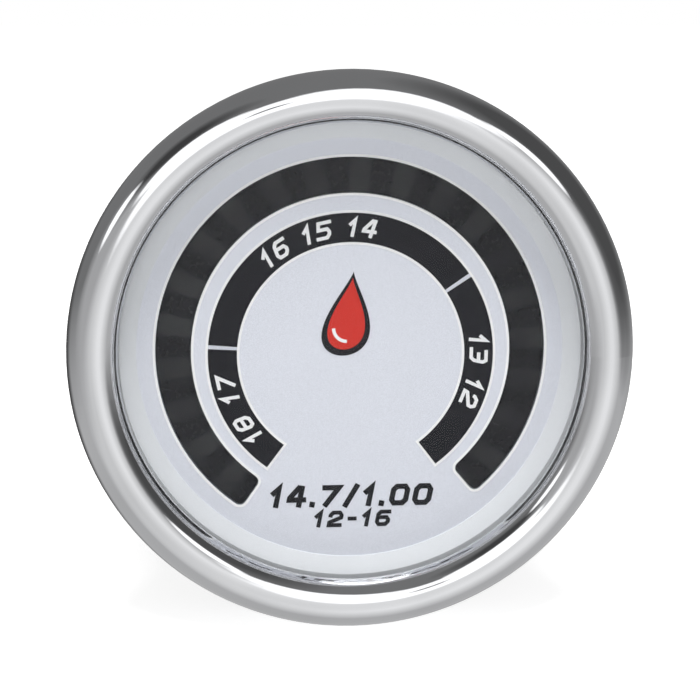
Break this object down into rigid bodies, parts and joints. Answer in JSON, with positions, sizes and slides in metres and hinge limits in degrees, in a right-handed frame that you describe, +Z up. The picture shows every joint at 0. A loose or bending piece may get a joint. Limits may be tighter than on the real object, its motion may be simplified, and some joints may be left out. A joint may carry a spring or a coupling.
{
  "type": "air fuel ratio gauge",
  "caption": "Round dashboard gauge: silver dial, arc of lamps behind a smoked window, bright rolled bezel, short case with a rear clamp strap on studs.",
  "frame": {"origin": "on the gauge's axis, in the plane of the bezel's back face, where it meets the panel", "axes": "+Y along the axis to the rear, so the dial faces -Y; +Z up; +X to the viewer's right"},
  "size_m": [0.0576, 0.067, 0.0572],
  "materials": {
    "bezel_metal": "polished, rolled bead",
    "lens_glass": "clear, flat",
    "seal_rubber": "matte",
    "ring_white": "pale, translucent",
    "dial_silver": "fine silver print",
    "band_ink": "printed ink",
    "window_smoke": "smoked, moulded",
    "baffle_grey": "moulded",
    "led_red": "tinted epoxy, unlit",
    "led_amber": "tinted epoxy, unlit",
    "led_green": "tinted epoxy, unlit",
    "guide_clear": "clear acrylic",
    "board_green": "solder mask",
    "spacer_metal": "turned",
    "screw_steel": "zinc plated",
    "pin_brass": "plated",
    "chip_black": "moulded epoxy",
    "can_sleeve": "shrunk sleeve",
    "regulator_black": "moulded epoxy with a tab",
    "resistor_tan": "lacquered",
    "diode_black": "moulded",
    "trimmer_blue": "moulded",
    "connector_ivory": "moulded nylon",
    "case_black": "filled nylon, fine texture",
    "grommet_rubber": "matte",
    "stud_steel": "zinc plated, threaded",
    "socket_black": "moulded",
    "bulb_glass": "clear",
    "strap_steel": "zinc plated, bent strip",
    "washer_steel": "oiled spring steel",
    "nut_steel": "zinc plated"
  },
  "bodies": {
    "gauge": {"bezel": "bezel_metal", "lens_gasket": "seal_rubber", "lens": "lens_glass", "reveal_ring": "ring_white", "dial_plate": "dial_silver", "zone_band": "band_ink", "arc_window": "window_smoke", "led_baffle": "baffle_grey", "lean_leds": "led_red", "stoich_leds": "led_amber", "rich_leds": "led_green", "light_guide": "guide_clear", "display_board": "board_green", "board_spacers": "spacer_metal", "driver_board": "board_green", "board_screws": "screw_steel", "header_pins": "pin_brass", "driver_chips": "chip_black", "capacitor": "can_sleeve", "voltage_regulator": "regulator_black", "resistors": "resistor_tan", "diode": "diode_black", "brightness_trimmer": "trimmer_blue", "lead_connector": "connector_ivory", "case": "case_black", "lead_grommet": "grommet_rubber", "mounting_studs": "stud_steel"},
    "lamp_holder": {"lamp_socket": "socket_black", "lamp_bulb": "bulb_glass"},
    "strap": {"clamp_bracket": "strap_steel", "lock_washers": "washer_steel"},
    "left_nut": {"nut_left": "nut_steel"},
    "right_nut": {"nut_right": "nut_steel"}
  },
  "joints": [
    {"name": "strap_slide", "type": "slide", "parent": "gauge", "child": "strap", "axis": [0, 1, 0], "range_m": [-0.005, 0.009]},
    {"name": "left_nut_turn", "type": "hinge", "parent": "strap", "child": "left_nut", "pos_m": [-0.016, 0.0486, 0], "axis": [0, 1, 0], "range_deg": [-2270, 4085]},
    {"name": "right_nut_turn", "type": "hinge", "parent": "strap", "child": "right_nut", "pos_m": [0.016, 0.0486, 0], "axis": [0, 1, 0], "range_deg": [-2270, 4085]},
    {"name": "lamp_twist", "type": "hinge", "parent": "gauge", "child": "lamp_holder", "pos_m": [0, 0.038, 0.015], "axis": [0, 1, 0], "range_deg": [0, 45]}
  ],
  "couplings": [
    {"joint": "left_nut_turn", "follows": "strap_slide", "rad_per_m": 7915.8},
    {"joint": "right_nut_turn", "follows": "strap_slide", "rad_per_m": 7915.8}
  ]
}
